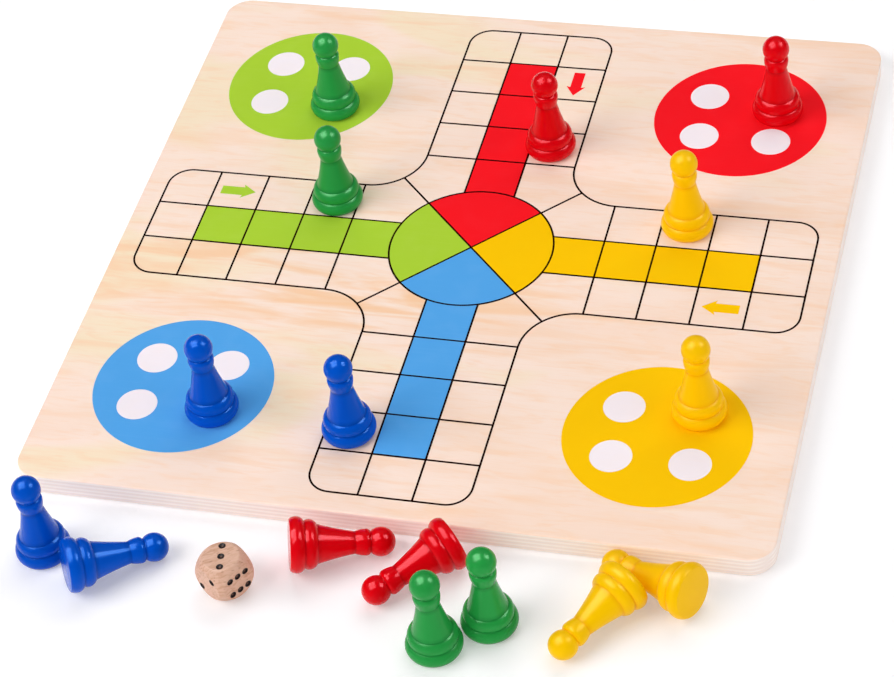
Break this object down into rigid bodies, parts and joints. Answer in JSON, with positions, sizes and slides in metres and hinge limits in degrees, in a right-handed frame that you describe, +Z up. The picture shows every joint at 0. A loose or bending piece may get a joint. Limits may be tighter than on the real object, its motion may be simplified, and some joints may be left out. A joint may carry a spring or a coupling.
{
  "type": "ludo board game",
  "caption": "Ludo set: a flat printed plywood board with cross-shaped track and coloured home discs, turned wooden pawns that lift off, and a wooden die.",
  "frame": {"origin": "centre of the board's underside, on the table", "axes": "+X right along the board's front edge, +Y towards the board's back edge, +Z up"},
  "size_m": [0.28, 0.337, 0.0461],
  "materials": {
    "veneer_face": "satin",
    "veneer_long": "matte",
    "veneer_cross": "matte",
    "ink_lines": "matte",
    "ink_yellow": "matte",
    "ink_red": "matte",
    "ink_green": "matte",
    "ink_blue": "matte",
    "ink_white": "matte",
    "paint_green": "gloss paint",
    "paint_red": "gloss paint",
    "paint_blue": "gloss paint",
    "paint_yellow": "gloss paint",
    "die_wood": "satin",
    "pip_paint": "matte"
  },
  "bodies": {
    "board": {"board_ply_1": "veneer_face", "board_ply_2": "veneer_cross", "board_ply_3": "veneer_long", "board_ply_4": "veneer_cross", "board_ply_5": "veneer_long", "board_ply_6": "veneer_cross", "board_ply_7": "veneer_long", "board_ply_8": "veneer_cross", "board_ply_9": "veneer_face", "print_lines": "ink_lines", "print_yellow": "ink_yellow", "print_red": "ink_red", "print_green": "ink_green", "print_blue": "ink_blue", "print_white": "ink_white"},
    "pawn_green_1": {"pawn_green_1": "paint_green"},
    "pawn_green_2": {"pawn_green_2": "paint_green"},
    "pawn_green_3": {"pawn_green_3": "paint_green"},
    "pawn_green_4": {"pawn_green_4": "paint_green"},
    "pawn_red_1": {"pawn_red_1": "paint_red"},
    "pawn_red_2": {"pawn_red_2": "paint_red"},
    "pawn_red_3": {"pawn_red_3": "paint_red"},
    "pawn_red_4": {"pawn_red_4": "paint_red"},
    "pawn_blue_1": {"pawn_blue_1": "paint_blue"},
    "pawn_blue_2": {"pawn_blue_2": "paint_blue"},
    "pawn_blue_3": {"pawn_blue_3": "paint_blue"},
    "pawn_blue_4": {"pawn_blue_4": "paint_blue"},
    "pawn_yellow_1": {"pawn_yellow_1": "paint_yellow"},
    "pawn_yellow_2": {"pawn_yellow_2": "paint_yellow"},
    "pawn_yellow_3": {"pawn_yellow_3": "paint_yellow"},
    "pawn_yellow_4": {"pawn_yellow_4": "paint_yellow"},
    "die": {"die_body": "die_wood", "die_pips": "pip_paint"}
  },
  "joints": [
    {"name": "lift_pawn_green_1", "type": "slide", "parent": "board", "child": "pawn_green_1", "axis": [0, 0, 1], "range_m": [0, 0.06]},
    {"name": "lift_pawn_green_2", "type": "slide", "parent": "board", "child": "pawn_green_2", "axis": [0, 0, 1], "range_m": [0, 0.06]},
    {"name": "lift_pawn_green_3", "type": "slide", "parent": "board", "child": "pawn_green_3", "axis": [0, 0, 1], "range_m": [0, 0.06]},
    {"name": "lift_pawn_green_4", "type": "slide", "parent": "board", "child": "pawn_green_4", "axis": [0, 0, 1], "range_m": [0, 0.06]},
    {"name": "lift_pawn_red_1", "type": "slide", "parent": "board", "child": "pawn_red_1", "axis": [0, 0, 1], "range_m": [0, 0.06]},
    {"name": "lift_pawn_red_2", "type": "slide", "parent": "board", "child": "pawn_red_2", "axis": [0, 0, 1], "range_m": [0, 0.06]},
    {"name": "lift_pawn_red_3", "type": "slide", "parent": "board", "child": "pawn_red_3", "axis": [0, 0, 1], "range_m": [0, 0.06]},
    {"name": "lift_pawn_red_4", "type": "slide", "parent": "board", "child": "pawn_red_4", "axis": [0, 0, 1], "range_m": [0, 0.06]},
    {"name": "lift_pawn_blue_1", "type": "slide", "parent": "board", "child": "pawn_blue_1", "axis": [0, 0, 1], "range_m": [0, 0.06]},
    {"name": "lift_pawn_blue_2", "type": "slide", "parent": "board", "child": "pawn_blue_2", "axis": [0, 0, 1], "range_m": [0, 0.06]},
    {"name": "lift_pawn_blue_3", "type": "slide", "parent": "board", "child": "pawn_blue_3", "axis": [0, 0, 1], "range_m": [0, 0.06]},
    {"name": "lift_pawn_blue_4", "type": "slide", "parent": "board", "child": "pawn_blue_4", "axis": [0, 0, 1], "range_m": [0, 0.06]},
    {"name": "lift_pawn_yellow_1", "type": "slide", "parent": "board", "child": "pawn_yellow_1", "axis": [0, 0, 1], "range_m": [0, 0.06]},
    {"name": "lift_pawn_yellow_2", "type": "slide", "parent": "board", "child": "pawn_yellow_2", "axis": [0, 0, 1], "range_m": [0, 0.06]},
    {"name": "lift_pawn_yellow_3", "type": "slide", "parent": "board", "child": "pawn_yellow_3", "axis": [0, 0, 1], "range_m": [0, 0.06]},
    {"name": "lift_pawn_yellow_4", "type": "slide", "parent": "board", "child": "pawn_yellow_4", "axis": [0, 0, 1], "range_m": [0, 0.06]},
    {"name": "lift_die", "type": "slide", "parent": "board", "child": "die", "axis": [0, 0, 1], "range_m": [0, 0.06]}
  ]
}
